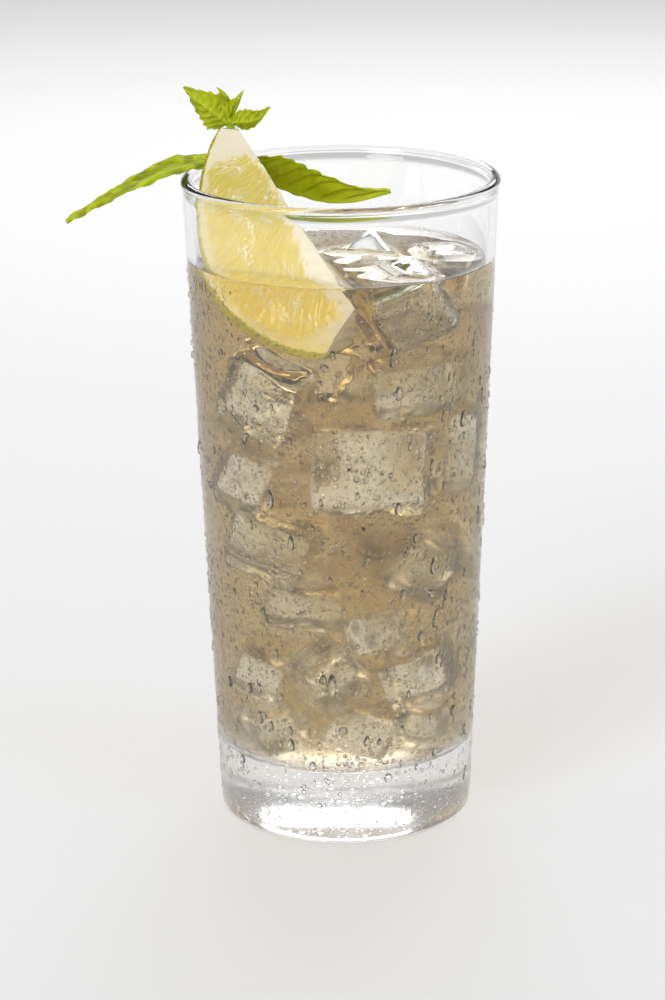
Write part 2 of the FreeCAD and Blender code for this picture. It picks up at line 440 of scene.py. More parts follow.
def inner_radius(z):
    return wall_radius(z) - bpy.context.scene.drink_glass.wall / MM


def glass_profile():
    """Half the glass cut through its axis: under the foot, up outside, over the lip, down inside."""
    glass = bpy.context.scene.drink_glass
    height = glass.height / MM
    ball = (PUNT_RADIUS ** 2 + PUNT_DEPTH ** 2) / (2 * PUNT_DEPTH)
    punt_r = np.linspace(0, PUNT_RADIUS, 10)
    punt = np.stack([punt_r, PUNT_DEPTH - ball + np.sqrt(ball ** 2 - punt_r ** 2)], 1)
    foot = arc((wall_radius(FOOT_ROUND) - FOOT_ROUND, FOOT_ROUND), FOOT_ROUND, -90, -2, 9)
    roll_height = height - LIP_ROLL
    roll_middle = glass.rim_radius / MM - LIP_ROLL
    meets = math.degrees(math.acos((wall_radius(roll_height - 0.8) - roll_middle) / LIP_ROLL))
    lip = arc((roll_middle, roll_height), LIP_ROLL, -meets, 180, 26)
    wall = line(foot[-1], lip[0], 60)[1:]
    corner_r = inner_radius(BASE + FLOOR_CORNER) - FLOOR_CORNER
    corner = arc((corner_r, BASE + FLOOR_CORNER), FLOOR_CORNER, 2, -90, 12)
    inside = line(lip[-1], corner[0], 60)[1:]
    floor_r = np.linspace(corner_r, 0, 10)[1:]
    floor = np.stack([floor_r, BASE + 0 * floor_r], 1)
    return np.concatenate([punt, foot, wall, lip, inside, corner, floor])


def lime_front():
    """The middle of the stretch of wall that the lime leans against."""
    return -9.0, -31.0, bpy.context.scene.drink_contents.level / MM - 10.0


def glass_finish():
    """Clear glass whose cold part is misted: rough between small drops, and clearer by the lime."""
    settings = bpy.context.scene
    level = settings.drink_contents.level
    f = Finish.named("misted_glass")
    z = f.height()
    cold = f.between(z, 0.0005, 0.004) * f.between(z, level + 0.002, level - 0.004)
    by_lime = f.near(tuple(c * MM for c in lime_front()), (1.0, 0.6, 1.25))
    cold = cold * (f.between(by_lime, 0.014, 0.023) * 0.9 + 0.1)
    patches = f.between(f.noise(60.0, 3.0, 0.6, seed=3.0), 0.38, 0.56)
    wider, finer = f.domes(700.0), f.domes(1700.0) * patches
    clear = f.between(wider + finer, 0.02, 0.10)
    rough = cold * (1 - patches * 0.3) * (1 - clear * 0.9) * settings.drink_glass.mist
    drops = f.bump((wider * 1.3 + finer * 0.6) * cold, 0.0006, 1.0)
    shader = f.principled(Base_Color=WHITE, Roughness=rough, IOR=1.5, Transmission_Weight=1.0, Normal=drops)
    return f.done(f.lets_lamps_through(shader, (0.93, 0.93, 0.93)))


class DRINK_OT_glass(bpy.types.Operator):
    """Makes the tapered glass with its rolled lip, heavy base and hollow foot"""
    bl_idname = "drink.glass"
    bl_label = "Glass"

    def execute(self, context):
        points, faces = turned_profile(glass_profile(), AROUND)
        mesh = new_mesh("glass_body", points, [faces])
        add_piece("glass_body", face_outward(mesh), glass_finish(), ["glass"])
        return {"FINISHED"}


# ---- ice --------------------------------------------------------------------------------
# size along its own edges, melted corner radius, middle, then turns about X, Y and Z
FLOATING_ICE = {
    "ice_back": ((14.0, 13.5, 15.0), 0.8, (5.6, 7.6, 120.4), (28, -24, 20)),
    "ice_front": ((17.0, 16.0, 15.0), 3.0, (12.6, -12.6, 120.0), (4, -26, 13)),
    "ice_right": ((11.5, 13.0, 13.5), 2.4, (22.85, 5.23, 121.6), (-10, 12, 14)),
}
SUNK_ICE = [
    ((17.0, 14.0, 18.0), 2.2, (-14.5, -12.5, 100.8), (12, 20, -30)),
    ((18.0, 14.0, 12.0), 2.6, (13.6, -13.0, 103.0), (4, -6, 10)),
    ((24.0, 15.0, 20.0), 1.8, (5.6, -14.5, 84.8), (-3, 1, -2)),
    ((12.0, 12.0, 15.0), 2.6, (-19.0, -10.0, 81.4), (20, 24, -10)),
    ((8.5, 13.0, 19.0), 2.4, (22.6, -7.0, 87.0), (4, 5, 12)),
    ((18.0, 14.0, 14.0), 2.2, (-14.4, -11.6, 66.4), (4, 16, -16)),
    ((16.5, 13.0, 10.5), 3.2, (-8.2, -14.0, 53.4), (14, 8, 5)),
    ((15.0, 14.0, 14.5), 4.2, (15.2, -12.2, 61.8), (22, 32, 15)),
    ((13.5, 12.0, 10.0), 2.8, (5.8, -15.0, 47.4), (-12, -12, 10)),
    ((13.0, 12.5, 13.0), 1.8, (-3.2, -13.4, 36.6), (20, -30, 22)),
    ((11.0, 12.0, 10.5), 1.8, (-16.2, -8.8, 35.6), (6, 20, -14)),
    ((15.0, 12.5, 12.5), 2.0, (14.8, -11.6, 36.0), (12, -18, -12)),
    ((14.0, 12.5, 10.5), 2.0, (2.4, -12.6, 22.9), (-10, 24, 8)),
    ((12.5, 12.0, 10.5), 2.4, (-13.6, -9.4, 22.9), (10, -16, 20)),
    ((10.0, 11.0, 9.5), 2.2, (14.4, -8.6, 22.9), (8, 14, -10)),
    ((19.0, 12.5, 12.5), 2.4, (-6.8, 2.4, 104.0), (6, 10, 18)),
    ((16.0, 16.0, 14.0), 2.4, (10.6, 8.6, 102.0), (-12, 16, 34)),
    ((15.0, 17.0, 15.0), 2.4, (-9.6, 7.4, 84.6), (14, -12, 20)),
    ((16.0, 15.0, 14.0), 2.4, (12.8, 9.0, 80.0), (-20, 10, 12)),
    ((17.0, 15.0, 14.0), 2.4, (-7.6, 9.6, 64.0), (10, 22, -8)),
    ((15.0, 16.0, 14.0), 2.4, (11.2, 8.6, 60.2), (18, -10, 26)),
    ((16.0, 15.0, 13.0), 2.4, (-6.0, 9.4, 45.6), (-10, 12, 14)),
    ((15.0, 14.0, 13.0), 2.4, (12.0, 7.8, 42.0), (12, 20, -20)),
    ((16.0, 14.0, 12.5), 2.4, (0.6, 10.6, 26.0), (10, -14, 24)),
]
ICE_STEPS = 16
FLOATING_ICE_STEPS = 28
ICE_IN_AIR_BEND = 1.31
ICE_WEAR = 0.35


def ice_block(size, melt, middle, turn, seed, shrink=0.0, steps=ICE_STEPS):
    """A melted cube: each point of a cube's skin is pulled in to the rounded box with that corner radius.

    The nearest point of the smaller, sharp box is found by clipping, and the skin stands off it
    by the radius. Slow waves and a shallow dip in the top then wear it.
    """
    side = np.tan(np.linspace(-0.25, 0.25, steps + 1) * math.pi)
    u, v = [g.ravel() for g in np.meshgrid(side, side, indexing="ij")]
    parts = []
    for axis in range(3):
        for sign in (-1.0, 1.0):
            skin = np.zeros((len(u), 3))
            skin[:, axis] = sign
            skin[:, (axis + 1) % 3] = u * sign
            skin[:, (axis + 2) % 3] = v
            parts.append((skin, grid_faces(steps + 1, steps + 1)))
    skin, faces = joined(parts)
    half = np.array(size) / 2
    core = np.clip(skin * half, -(half - melt), half - melt)
    away = skin * half - core
    away /= np.linalg.norm(away, axis=1, keepdims=True)
    wear = value_noise(skin * half + 40.0 * seed, 6.5, 5) * 0.60
    wear += value_noise(skin * half - 17.0 * seed, 2.6, 6) * 0.20
    dip = 0.9 * np.exp(-((skin[:, 0] / 0.55) ** 2 + (skin[:, 1] / 0.55) ** 2)) * (skin[:, 2] > 0.99)
    stands_off = melt - ICE_WEAR - shrink + np.minimum(wear, ICE_WEAR) - dip
    points = core + away * stands_off[:, None]
    return points @ turned(*turn).T + np.array(middle), faces


def box_distance(points, size, melt, middle, turn):
    """How far points lie outside a rounded box, less than 0 inside it."""
    local = np.abs((points - np.array(middle)) @ turned(*turn)) - (np.array(size) / 2 - melt)
    outside = np.linalg.norm(np.maximum(local, 0), axis=1)
    return outside + np.minimum(local.max(1), 0) - melt


def ball(rings, around):
    """A unit ball as a grid of latitudes and longitudes, with its poles closed."""
    up = np.linspace(0, math.pi, rings + 1)
    profile = np.stack([np.sin(up), -np.cos(up)], 1)
    return turned_profile(profile, around)


def balls(middles, radii, rings=6, around=8):
    """Many balls as one list of points and faces."""
    unit, faces = ball(rings, around)
    points = middles[:, None, :] + unit[None, :, :] * radii[:, None, None]
    shift = np.arange(len(middles))[:, None, None] * len(unit)
    return points.reshape(-1, 3), (faces[None] + shift).reshape(-1, 4)


def ice_specks(cube, count, seed):
    """Bubbles frozen near the heart of a cube, smaller towards its skin, and a few thin cracks."""
    size, _, middle, turn = cube
    random = np.random.default_rng(seed)
    inside = random.normal(0, 0.16, (count, 3)) * np.array(size)
    inside = np.clip(inside, -0.36 * np.array(size), 0.36 * np.array(size))
    outness = np.linalg.norm(inside / np.array(size), axis=1)
    radii = random.uniform(0.10, 0.40, count) ** 1.1 * (1 - 0.5 * outness)
    parts = [balls(inside, radii, 4, 6)]
    unit, faces = ball(6, 14)
    for reach in random.uniform(0.10, 0.24, 3) * min(size):
        waves = 1 + 0.25 * np.sin(3 * np.arctan2(unit[:, 1], unit[:, 0]) + reach)
        disc = unit * np.stack([reach * waves, 0.7 * reach * waves, np.full(len(unit), 0.07)], 1)
        disc = disc @ turned(*random.uniform(-90, 90, 3)).T
        parts.append((disc + random.uniform(-0.14, 0.14, 3) * np.array(size), faces))
    points, faces = joined(parts)
    return points @ turned(*turn).T + np.array(middle), faces[:, ::-1]


def ice_clouds_and_highlights(cube, seed):
    """Thin white sheets frozen in along the sides of a cube, balls flattened to a sheet: partly cloudy ice
    and partly painted highlights where the faces would reflect light.
    """
    size, _, middle, turn = cube
    random = np.random.default_rng(seed)
    half = np.array(size) / 2
    unit, faces = ball(4, 20)
    parts = []
    for axis, side in ((0, 1), (0, -1), (1, -1), (2, 1)):
        reach = half * random.uniform(0.30, 0.70, 3)
        place = half * random.uniform(-0.25, 0.25, 3)
        reach[axis], place[axis] = 0.15, side * half[axis] * random.uniform(0.35, 0.70)
        parts.append((unit * reach + place, faces))
    points, faces = joined(parts)
    return points @ turned(*turn).T + np.array(middle), faces


def cloud_and_highlight_finish():
    """White frost that noise thins out to nothing: partly cloudy ice and partly painted highlights."""
    f = Finish.named("cloudy_ice_and_highlights")
    cloud_and_highlight = f.between(f.noise(330.0, 5.0, 0.75), 0.46, 0.66)
    shader = f.principled(Base_Color=(0.93, 0.93, 0.90, 1.0), Roughness=0.35, Alpha=cloud_and_highlight * 0.7)
    return f.done(shader)


def ice_finish(name, bend):
    """Clear ice with a faintly uneven skin."""
    f = Finish.named(name)
    wet = f.bump(f.noise(420.0, 2.0, 0.5), 0.00012, 0.5)
    shader = f.principled(Base_Color=WHITE, Roughness=0.0, IOR=bend, Transmission_Weight=1.0, Normal=wet)
    return f.done(f.lets_lamps_through(shader, (0.97, 0.97, 0.97)))


class DRINK_OT_ice(bpy.types.Operator):
    """Makes the ice: three cubes that break the surface, and the cubes sunk in the drink"""
    bl_idname = "drink.ice"
    bl_label = "Ice"

    def execute(self, context):
        settings = context.scene.drink_ice
        floating = ice_finish("floating_ice", ICE_IN_AIR_BEND)
        for number, (node, cube) in enumerate(FLOATING_ICE.items()):
            parts = [ice_block(*cube, seed=number, steps=FLOATING_ICE_STEPS),
                     ice_specks(cube, settings.specks, 50 + number)]
            points, faces = joined(parts)
            mesh = new_mesh(node + "_melted", points, [faces])
            add_piece(node + "_melted", mesh, floating, [node])
        parts = []
        for number, cube in enumerate(SUNK_ICE):
            parts.append(ice_block(*cube, seed=10 + number))
            parts.append(ice_specks(cube, settings.specks, 70 + number))
        points, faces = joined(parts)
        mesh = new_mesh("sunk_ice", points, [faces])
        add_piece("sunk_ice", mesh, ice_finish("sunk_ice", settings.bend), ())
        # white sheets in the sunk cubes: partly cloudy ice and partly painted highlights
        points, faces = joined([ice_clouds_and_highlights(cube, 90 + number) for number, cube in enumerate(SUNK_ICE)])
        mesh = face_outward(new_mesh("cloudy_ice_and_highlights", points, [faces]))
        add_piece("cloudy_ice_and_highlights", mesh, cloud_and_highlight_finish(), ())
        return {"FINISHED"}


# ---- drink ------------------------------------------------------------------------------
REACH_INTO_WALL = 0.25
MENISCUS = 0.8
CLIMB = 0.9
SURFACE_RINGS = 96
ICE_GAP = 0.05


def surface_height(x, y):
    """The drink's top: level, with a meniscus that dies away as exp(-distance) from what it wets."""
    level = bpy.context.scene.drink_contents.level / MM
    r = np.hypot(x, y)
    points = np.stack([x, y, np.full(x.shape, level)], 1)
    z = level + MENISCUS * np.exp(-np.maximum(inner_radius(level) - r, 0) / 1.1)
    near = np.full(x.shape, 9.0)
    for cube in FLOATING_ICE.values():
        near = np.minimum(near, np.abs(box_distance(points, *cube)))
    near = np.minimum(near, np.maximum(lime_distance(points), 0.0))
    z += CLIMB * np.exp(-near / CLIMB)
    return z + 0.12 * value_noise(points, 7.0, 21)


def drink_shell():
    """The drink's outer skin: bottom and side turned from a profile, top laid over it as rings."""
    level = bpy.context.scene.drink_contents.level / MM
    floor = BASE - REACH_INTO_WALL
    corner_r = inner_radius(BASE + FLOOR_CORNER) - FLOOR_CORNER
    bottom_r = np.linspace(0, corner_r, 8)[:-1]
    bottom = np.stack([bottom_r, floor + 0 * bottom_r], 1)
    corner = arc((corner_r, BASE + FLOOR_CORNER), FLOOR_CORNER + REACH_INTO_WALL, -90, 2, 12)
    edge = (inner_radius(level) + REACH_INTO_WALL, level + MENISCUS)
    side = line(corner[-1], edge, 40)[1:]
    points, faces = turned_profile(np.concatenate([bottom, corner, side]), AROUND)

    shrink = 1 - np.linspace(0, 1, SURFACE_RINGS + 1) ** 1.35
    angle = np.linspace(0, 2 * math.pi, AROUND, endpoint=False)
    r = (edge[0] * shrink)[:, None] * np.ones(AROUND)
    x, y = (r * np.cos(angle)).ravel(), (r * np.sin(angle)).ravel()
    top = np.stack([x, y, surface_height(x, y)], 1)
    top_faces = grid_faces(SURFACE_RINGS + 1, AROUND, closed_columns=True)[:, ::-1]
    ties = grid_faces(2, AROUND, closed_columns=True)[:, ::-1]
    ties = np.where(ties < AROUND, ties + len(points) - AROUND, ties - AROUND + len(points))
    all_points = np.concatenate([points, top])
    return all_points, np.concatenate([faces, ties, top_faces + len(points)])


def carved(mesh, cutters):
    """The mesh with each cutter's space taken out of it."""
    body = bpy.data.objects.new("carving", mesh)
    bpy.context.scene.collection.objects.link(body)
    tools = []
    for number, (points, faces) in enumerate(cutters):
        tool = bpy.data.objects.new("cutter", face_outward(new_mesh("cutter", points, [faces])))
        bpy.context.scene.collection.objects.link(tool)
        cut = body.modifiers.new("cut_%d" % number, "BOOLEAN")
        cut.operation, cut.object, cut.solver = "DIFFERENCE", tool, "EXACT"
        tools.append(tool)
    graph = bpy.context.evaluated_depsgraph_get()
    result = bpy.data.meshes.new_from_object(body.evaluated_get(graph))
    for thing in tools + [body]:
        bpy.data.objects.remove(thing)
    return result


def mesh_arrays(mesh):
    """A mesh's triangles as points in millimetres and faces."""
    mesh.calc_loop_triangles()
    points = np.empty(len(mesh.vertices) * 3)
    mesh.vertices.foreach_get("co", points)
    faces = np.empty(len(mesh.loop_triangles) * 3, np.int32)
    mesh.loop_triangles.foreach_get("vertices", faces)
    return points.reshape(-1, 3) / MM, faces.reshape(-1, 3)


def drink_bubbles():
    """Bubbles: most cling to the wall, the rest rise in the drink."""
    contents = bpy.context.scene.drink_contents
    random = np.random.default_rng(8)
    count = contents.bubbles
    level = contents.level / MM
    z = BASE + 2 + (level - 6 - BASE) * random.random(count)
    angle = random.uniform(0, 2 * math.pi, count)
    radii = random.uniform(0.12, 0.34, count)
    at_wall = random.random(count) < 0.6
    free = (inner_radius(z) - 2) * np.sqrt(random.random(count))
    r = np.where(at_wall, inner_radius(z) - radii - 0.12, free)
    middles = np.stack([r * np.cos(angle), r * np.sin(angle), z], 1)
    clear = np.full(count, 9.0)
    for cube in list(FLOATING_ICE.values()) + SUNK_ICE:
        clear = np.minimum(clear, box_distance(middles, *cube))
    clear = np.minimum(clear, lime_distance(middles))
    keep = clear > radii + 0.2
    points, faces = balls(middles[keep], radii[keep], 4, 8)
    return points, faces[:, ::-1]


def drink_finish():
    """A clear drink that takes up light on its way through."""
    contents = bpy.context.scene.drink_contents
    f = Finish.named("pale_straw_drink")
    shader = f.principled(Base_Color=WHITE, Roughness=0.0, IOR=1.34, Transmission_Weight=1.0)
    clear = f.lets_lamps_through(shader, (0.92, 0.88, 0.76))
    return f.done(clear, tuple(contents.tint), contents.strength)


class DRINK_OT_drink(bpy.types.Operator):
    """Makes the drink, hollow where the ice and its bubbles are"""
    bl_idname = "drink.drink"
    bl_label = "Drink"

    def execute(self, context):
        points, faces = drink_shell()
        shell = face_outward(new_mesh("drink_shell", points, [faces]))
        cutters = [ice_block(*cube, seed=number, shrink=ICE_GAP, steps=FLOATING_ICE_STEPS)
                   for number, cube in enumerate(FLOATING_ICE.values())]
        shell_points, shell_faces = mesh_arrays(carved(shell, cutters))
        hollows = []
        for number, cube in enumerate(SUNK_ICE):
            points, faces = ice_block(*cube, seed=10 + number, shrink=ICE_GAP)
            hollows.append((points, faces[:, ::-1]))
        hollows.append(drink_bubbles())
        points, faces = joined(hollows)
        mesh = new_mesh("pale_drink", np.concatenate([shell_points, points]),
                        [shell_faces, faces + len(shell_points)], sharp=50)
        add_piece("pale_drink", mesh, drink_finish(), ["drink"])
        return {"FINISHED"}


# ---- lime wedge -------------------------------------------------------------------------
# millimetres across the core, and along it from the lime's waist: the tip is at the negative end
LIME_RADIUS = 25.0
LIME_HALF = 29.9
LIME_FULLNESS = 0.585
LIME_ANGLE = math.radians(62.0)
LIME_END_AT_CORE = 20.9
LIME_END_AT_PEEL = 25.2
LIME_SLANT_START = 25.8
LIME_SLANT = math.tan(math.radians(43.0))
LIME_TIP = -29.27
LIME_THINS_BY = 0.22
PITH = 2.9
FLESH_TIP = -20.3
FLESH_END = 20.5
# steps round a loop of the skin (front face, peel, rear face, core edge), loops and rings of the cut end
LOOP_STEPS = (118, 74, 70, 8)
LOOPS = 250
CUT_RINGS = 16
LIME_MARKS = ("flesh", "peel", "sacs", "strands_and_glints")
CORE_HEADING = math.radians(-40.8)
CORE_DIVE = math.radians(46.9)
FACE_HEADING = math.radians(-120.0)
FACE_LIFT = math.radians(10.0)


def pointing(heading, rise):
    """The unit vector with that heading from +X and that rise above the horizontal."""
    level = math.cos(rise)
    return np.array([level * math.cos(heading), level * math.sin(heading), math.sin(rise)])


def lime_axes():
    """The wedge's own axes: out along the front face from the core, into the wedge, and down the core."""
    down = pointing(CORE_HEADING, -CORE_DIVE)
    back = -pointing(FACE_HEADING, FACE_LIFT)
    back -= down * (back @ down)
    back /= np.linalg.norm(back)
    return np.stack([np.cross(back, down), back, down])


def peel_radius(s):
    """The peel's curve: radius * (1 - (s / half length) squared) to the power of the fullness."""
    return LIME_RADIUS * np.maximum(1 - (s / LIME_HALF) ** 2, 0) ** LIME_FULLNESS


def lime_middle():
    """Where the lime's middle lies: the wedge's corners and peel are laid into the CAD node's box."""
    s, angle = np.meshgrid(np.linspace(LIME_TIP, LIME_END_AT_PEEL, 60), np.linspace(0, LIME_ANGLE, 12))
    r = peel_radius(s)
    skin = np.stack([r * np.cos(angle), r * np.sin(angle), s], -1).reshape(-1, 3)
    ends = np.array([(0, 0, -LIME_SLANT_START), (0, 0, LIME_END_AT_CORE)])
    placed = np.concatenate([skin, ends]) @ lime_axes()
    low, high = [np.array(corner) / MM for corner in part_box("lime_wedge")]
    return (low + high - placed.min(0) - placed.max(0)) / 2


def lime_distance(points):
    """About how far points lie outside the wedge, less than 0 inside it."""
    local = (points - lime_middle()) @ lime_axes().T
    x, y, s = local.T
    front = -y
    back = y * math.cos(LIME_ANGLE) - x * math.sin(LIME_ANGLE)
    peel = np.hypot(x, y) - peel_radius(s)
    end = s - LIME_END_AT_PEEL
    return np.max([front, back, peel, end], axis=0)


def flesh_share(x, s, radius):
    """1 on the flesh and 0 on the pith round it, smooth across the border.

    The flesh ends a pith's width inside the peel, thicker towards the lower end. Its tip is cut by
    the line s = FLESH_TIP - 0.4 x and its lower end by s = FLESH_END - 0.1 x. A wedge of pith lies
    along the lower core. Waves make each border ragged.
    """
    pith = PITH + 0.1 * np.maximum(s, 0)
    inner = 0.3 + 1.6 * smooth_step(-14, 0, s) + 3.1 * np.exp(-((s - 9) / 6) ** 2)
    inner += 0.15 * np.maximum(s - 12, 0)
    ragged = 0.35 * np.sin(s * 2.1 + 0.6) + 0.2 * np.sin(s * 5.3)
    comb = 0.5 * np.sin(1.7 * (s - 0.5 * x)) + 0.3 * np.sin(4.1 * (s - 0.5 * x))
    return (smooth_step(-1.8, 0.9, radius - pith + ragged - x) * smooth_step(-1.4, 1.2, x - inner + comb)
            * smooth_step(-0.9, 1.1, s - FLESH_TIP + 0.4 * x + 0.4 * np.sin(x * 1.6))
            * smooth_step(-1.2, 1.2, FLESH_END - 0.1 * x - s + 0.3 * np.sin(x * 1.9)))


def juice_sacs(x, s, seed):
    """Relief of the juice sacs and the share of pale strands between them; the strands' pale colour is
    partly whitish membrane and partly painted highlight.

    A sac is a long cell of a stretched cell pattern that stands up in the middle. The sacs lie on
    lines s = s0 + (0.5 + 0.03 s0) x, so they lean ever more towards the lower end, and they curl.
    Strands lie along some borders of a finer pattern, and stand partly for whitish membranes and partly for
    painted glints.
    """
    flat = np.stack([x, s, 0 * x], -1).reshape(-1, 3)
    curl = 1.1 * value_noise(flat, 5.0, seed + 3).reshape(x.shape)
    fan = (s - 0.5 * x) / (1 + 0.03 * x) + curl
    nearest, second = cell_noise(fan / 1.15 + 90, x / 8.5 + 0.4 * np.sin(fan / 2.0) + 40, seed)
    dome = np.clip(second - nearest, 0, 0.6) / 0.6
    fine, fine_second = cell_noise(fan / 0.55 + 20, x / 4.6 + 70, seed + 1)
    groove = np.clip(fine_second - fine, 0, 0.5) / 0.5
    patch = value_noise(flat, 2.4, seed + 2).reshape(x.shape)
    strands_and_glints = smooth_step(0.36, 0.08, groove) * smooth_step(0.0, 0.4, patch)
    return 0.7 * np.sqrt(dome) + 0.3 * np.sqrt(groove), strands_and_glints


def lime_skin():
    """The wedge's skin before its relief, as closed loops at stations along the core.

    Each loop runs out over the front face, round the peel, back over the rear face and along the
    slanted cut or core edge. A point lies a share of the way from the core to the peel, on a
    plane that swings from the front face, 0, to the rear face, 1. The wedge thins towards its
    lower end. Returns x, y and s, the slanted cut's place, the peel's radius and the swing.
    """
    front, peel, rear, core = LOOP_STEPS

    def stretch(count, start=0.0, end=1.0):
        return np.linspace(start, end, count, endpoint=False)

    share = np.concatenate([stretch(front) ** 0.9, np.ones(peel), stretch(rear, 1, 0), np.zeros(core)])
    swing = np.concatenate([np.zeros(front), stretch(peel), np.ones(rear), stretch(core, 1, 0)])
    t = np.linspace(0, 1, LOOPS)[:, None]
    end = LIME_END_AT_CORE + (LIME_END_AT_PEEL - LIME_END_AT_CORE) * share * (1 - 0.6 * swing)
    s = LIME_TIP + (end - LIME_TIP) * (0.62 * t + 0.38 * t ** 2)
    radius = peel_radius(s)
    low = np.minimum(np.maximum(-LIME_SLANT_START - s, 0) / LIME_SLANT, radius)
    angle = LIME_ANGLE * (1 - LIME_THINS_BY * smooth_step(8, 24, s))
    angle = np.minimum(np.arccos(np.clip(low / radius, -1, 1)), angle)
    near = low / np.cos(angle * ((share < 1) & (swing > 0)))
    r = near + (radius - near) * share
    x, y = r * np.cos(angle * swing), r * np.sin(angle * swing)
    x[:, -core:] = low[:, -core:]
    y[:, -core:] = (low * np.tan(angle) * swing)[:, -core:]
    return x, y, s, low, radius, swing


def lime_grid():
    """The wedge's skin with its relief, and its marks at each point.

    The sacs and strands lift the flesh, slow waves lift the pith, a row of glands beads the
    peel's border on the faces, and pores cover the peel. The relief dies away at each edge.
    """
    x, y, s, low, radius, swing = lime_skin()
    on_front, on_peel, on_rear = [np.repeat(np.arange(4), LOOP_STEPS) == side for side in range(3)]
    on_face = on_front | on_rear
    r, angle = np.hypot(x, y), np.arctan2(y, x)
    flesh = np.where(on_face, flesh_share(r, s, radius), 0.0)
    glands = np.abs(np.sin(s * 2.3 + 0.8 * np.sin(s)))
    border = 0.70 + 0.35 * glands + 1.1 * smooth_step(-8, 10, s)
    peel = np.where(on_face, smooth_step(-0.45, 0.40, r - (radius - border)), 0.0)
    peel = np.where(on_peel, 1.0 + smooth_step(0.0, 0.22, swing), peel)
    sacs, strands_and_glints = [np.where(on_front, front, rear)
                     for front, rear in zip(juice_sacs(r, s, 3), juice_sacs(r, s, 33))]

    edge = np.clip(np.minimum(r - low, radius - r) / 1.2, 0, 1)
    swell = 0.275 * np.sin(s / 3.1 + 1.0) * np.sin(r / 4.0)
    on_flesh = flesh * (0.46 * sacs + 0.22 * strands_and_glints - 0.20 + swell)
    on_pith = (1 - flesh) * (1 - peel) * 0.05 * np.sin(s * 1.9 + r)
    lift = edge * (on_flesh + on_pith) + 0.26 * peel * on_face * glands
    pores = 0.15 * np.cos(s * 4.1 + 2 * np.sin(r * angle)) * np.cos(angle * radius * 3.7)
    pores = np.where(on_peel, pores * np.sin(np.pi * np.clip(angle / LIME_ANGLE, 0, 1)), 0.0)
    # the core's edge steps out where the tip's pith ends, and waves a little below it
    step = 1.1 * np.exp(-((s + 21.3) / 2.4) ** 2) + 0.2 * np.sin(s * 0.9)
    x += np.where(on_rear, -math.sin(LIME_ANGLE), 0.0) * lift + pores * x / np.maximum(r, 1e-6)
    x += np.exp(-r / 2.2) * on_face * step
    y += np.where(on_front, -1.0, np.where(on_rear, math.cos(LIME_ANGLE), 0.0)) * lift
    y += pores * y / np.maximum(r, 1e-6)
    # the pith takes on the juice's colour towards the peel
    stained = 0.6 * smooth_step(4, 12, r) * smooth_step(-25, -19, s) * on_face
    return np.stack([x, y, s], -1), [np.maximum(flesh, stained), peel, sacs, strands_and_glints]


def with_cut_end(skin, marks):
    """The skin and its marks with the cut end: the last loop shrunk towards its middle, dished."""
    share = 1 - np.linspace(0, 1, CUT_RINGS + 1)[1:]
    middle = skin[-1].mean(0)
    cut = middle + (skin[-1] - middle) * share[:, None, None]
    waves = 0.12 * np.sin(cut[..., 0] * 2.2) * (share > 0)[:, None]
    cut[..., 2] -= 0.5 * np.sin(np.pi * share)[:, None] + waves
    flesh, peel, sacs, strands_and_glints = [np.repeat(mark[-1:], CUT_RINGS, 0) for mark in marks]
    peel = np.minimum(peel, 1.0) * (np.arange(CUT_RINGS)[:, None] < 1)
    added = (0 * flesh, peel, sacs, strands_and_glints)
    return np.concatenate([skin, cut]), [np.concatenate(pair) for pair in zip(marks, added)]


